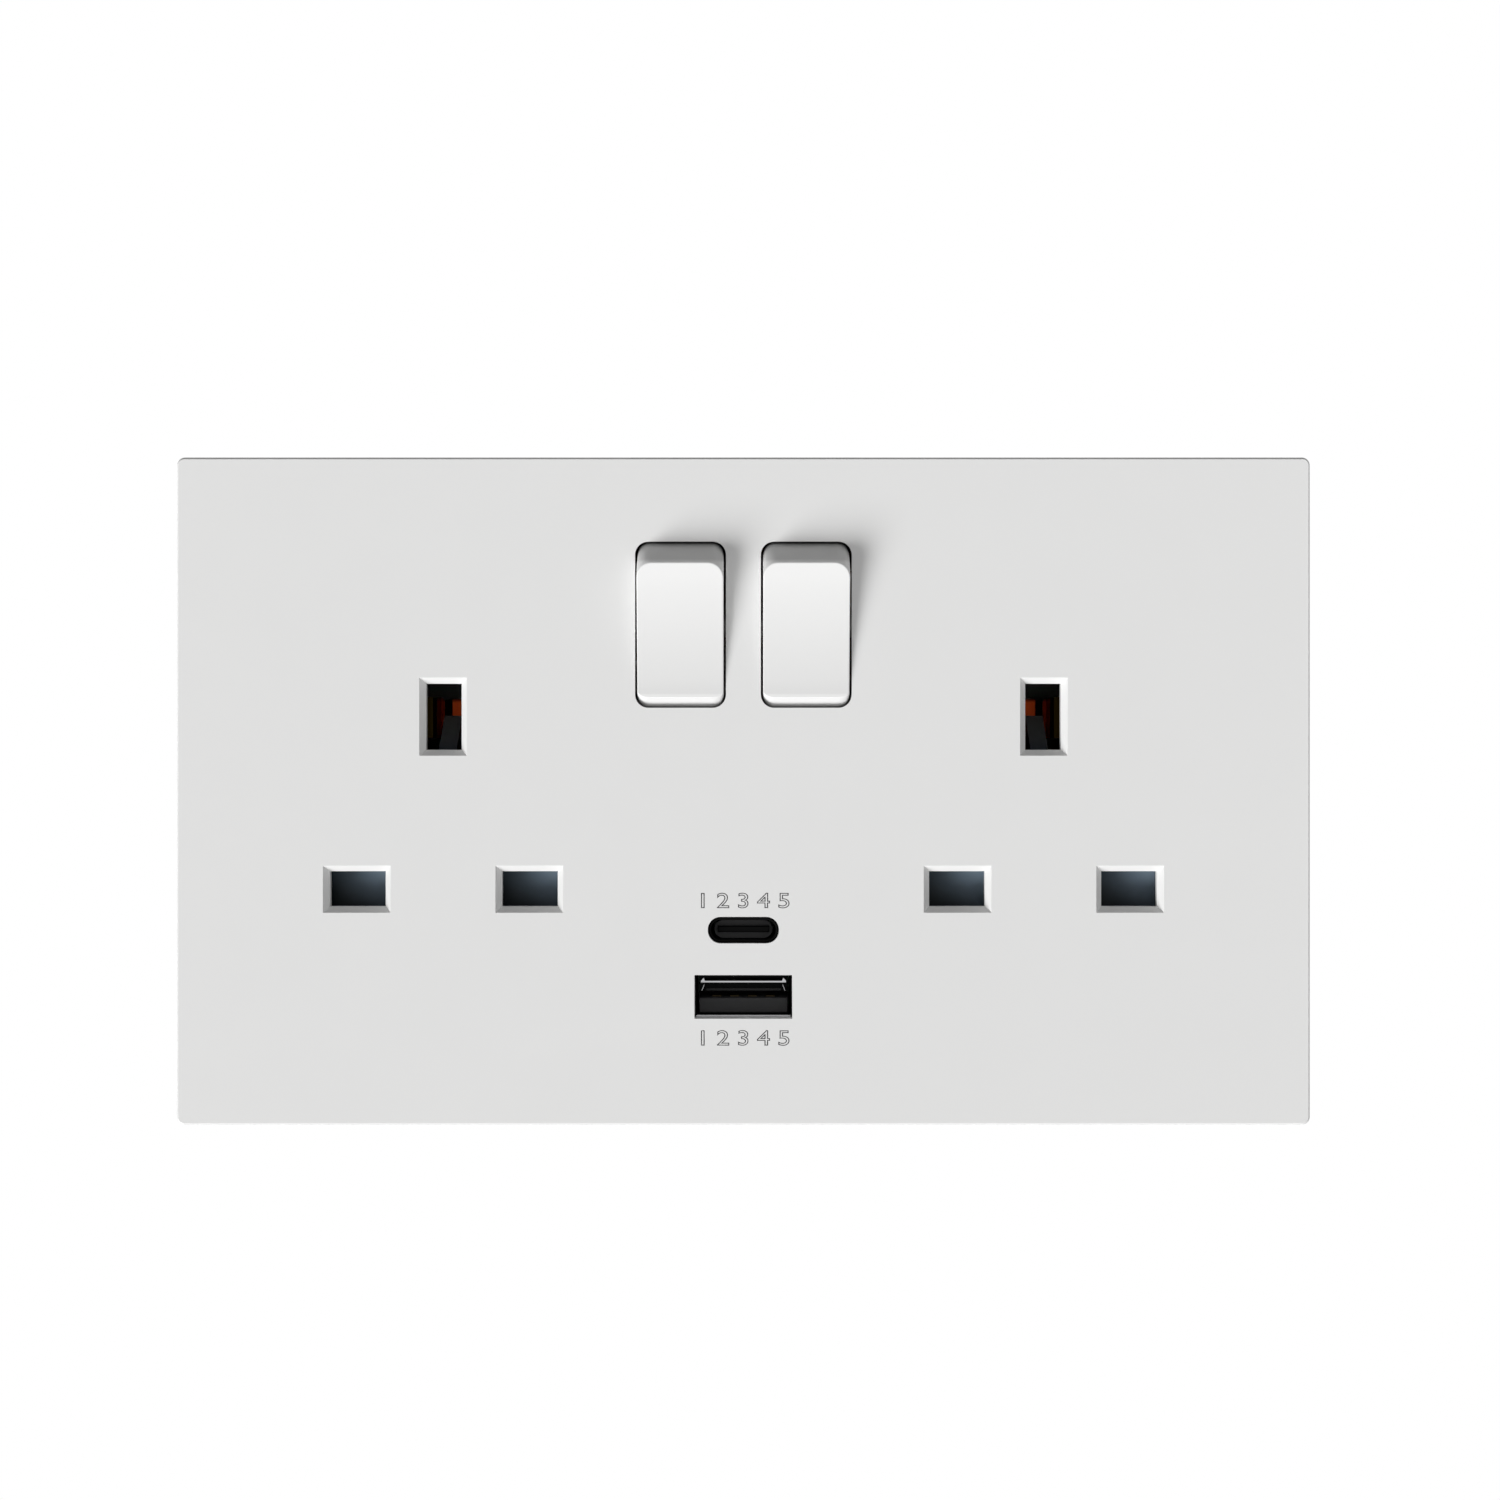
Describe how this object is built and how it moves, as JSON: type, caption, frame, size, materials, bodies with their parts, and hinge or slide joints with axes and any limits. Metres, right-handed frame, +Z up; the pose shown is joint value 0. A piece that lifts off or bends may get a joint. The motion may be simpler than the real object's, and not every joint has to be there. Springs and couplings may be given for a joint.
{
  "type": "uk twin socket",
  "caption": "Flat white screwless wall socket with rocker switches, shuttered pin slots, wiring terminals and charging ports.",
  "frame": {"origin": "middle of the plate, on the wall's surface", "axes": "+X to the right as seen from the front, +Y into the wall, +Z up; the front looks along -Y"},
  "size_m": [0.146, 0.0403, 0.086],
  "materials": {
    "plate_plastic": "smooth white moulding, slightly satin",
    "rocker_plastic": "smooth white moulding, slightly satin",
    "frame_plastic": "pale grey moulding",
    "housing_plastic": "off-white moulding",
    "shutter_plastic": "dark blue-grey moulding",
    "plunger_plastic": "natural white moulding",
    "screw_steel": "zinc plated",
    "terminal_steel": "zinc plated",
    "spring_steel": "drawn wire",
    "terminal_brass": "machined",
    "line_copper": "rolled copper strip",
    "neutral_brass": "rolled brass strip",
    "earth_copper": "rolled bronze strip",
    "port_steel": "drawn, plated",
    "small_tongue": "black moulding",
    "wide_tongue": "dark grey moulding",
    "contact_gold": "plated",
    "board_green": "lacquered laminate",
    "ferrite": "ground ferrite",
    "winding_tape": "taped winding",
    "capacitor_sleeve": "can",
    "chip_black": "moulded package"
  },
  "bodies": {
    "socket": {"face_plate": "plate_plastic", "mounting_frame": "frame_plastic", "rear_housing": "housing_plastic", "housing_screws": "screw_steel", "line_terminal": "terminal_brass", "neutral_terminal": "terminal_brass", "earth_terminal_left": "terminal_brass", "earth_terminal_right": "terminal_brass", "line_screw": "terminal_steel", "neutral_screw": "terminal_steel", "earth_screw_left": "terminal_steel", "earth_screw_right": "terminal_steel", "shutter_spring_left": "spring_steel", "shutter_spring_right": "spring_steel", "line_clip_left": "line_copper", "line_clip_right": "line_copper", "line_rail": "line_copper", "neutral_rail": "neutral_brass", "earth_rail": "earth_copper", "usb_c_shell": "port_steel", "usb_c_tongue": "small_tongue", "usb_c_contacts": "contact_gold", "usb_a_shell": "port_steel", "usb_a_tongue": "wide_tongue", "usb_a_contacts": "contact_gold", "charger_board": "board_green", "transformer_core": "ferrite", "transformer_winding": "winding_tape", "capacitors": "capacitor_sleeve", "control_chips": "chip_black"},
    "left_switch": {"rocker_left": "rocker_plastic", "plunger_left": "plunger_plastic", "plunger_spring_left": "spring_steel"},
    "left_contact": {"moving_contact_left": "line_copper"},
    "left_shutter": {"shutter_left": "shutter_plastic"},
    "right_switch": {"rocker_right": "rocker_plastic", "plunger_right": "plunger_plastic", "plunger_spring_right": "spring_steel"},
    "right_contact": {"moving_contact_right": "line_copper"},
    "right_shutter": {"shutter_right": "shutter_plastic"}
  },
  "joints": [
    {"name": "left_rocker", "type": "hinge", "parent": "socket", "child": "left_switch", "pos_m": [-0.0081, -0.00446, 0.02145], "axis": [-1, 0, 0], "range_deg": [0, 22]},
    {"name": "left_contact_rock", "type": "hinge", "parent": "socket", "child": "left_contact", "pos_m": [-0.0081, 0.00714, 0.02145], "axis": [1, 0, 0], "range_deg": [0, 12]},
    {"name": "left_shutter_slide", "type": "slide", "parent": "socket", "child": "left_shutter", "axis": [0, 0, -1], "range_m": [0, 0.006], "stiffness_N_per_m": 60, "springref_m": -0.003, "deforming": ["shutter_spring_left"]},
    {"name": "right_rocker", "type": "hinge", "parent": "socket", "child": "right_switch", "pos_m": [0.0081, -0.00446, 0.02145], "axis": [-1, 0, 0], "range_deg": [0, 22]},
    {"name": "right_contact_rock", "type": "hinge", "parent": "socket", "child": "right_contact", "pos_m": [0.0081, 0.00714, 0.02145], "axis": [1, 0, 0], "range_deg": [0, 12]},
    {"name": "right_shutter_slide", "type": "slide", "parent": "socket", "child": "right_shutter", "axis": [0, 0, -1], "range_m": [0, 0.006], "stiffness_N_per_m": 60, "springref_m": -0.003, "deforming": ["shutter_spring_right"]}
  ],
  "couplings": [
    {"joint": "left_contact_rock", "follows": "left_rocker", "ratio": 0.54545},
    {"joint": "right_contact_rock", "follows": "right_rocker", "ratio": 0.54545}
  ]
}
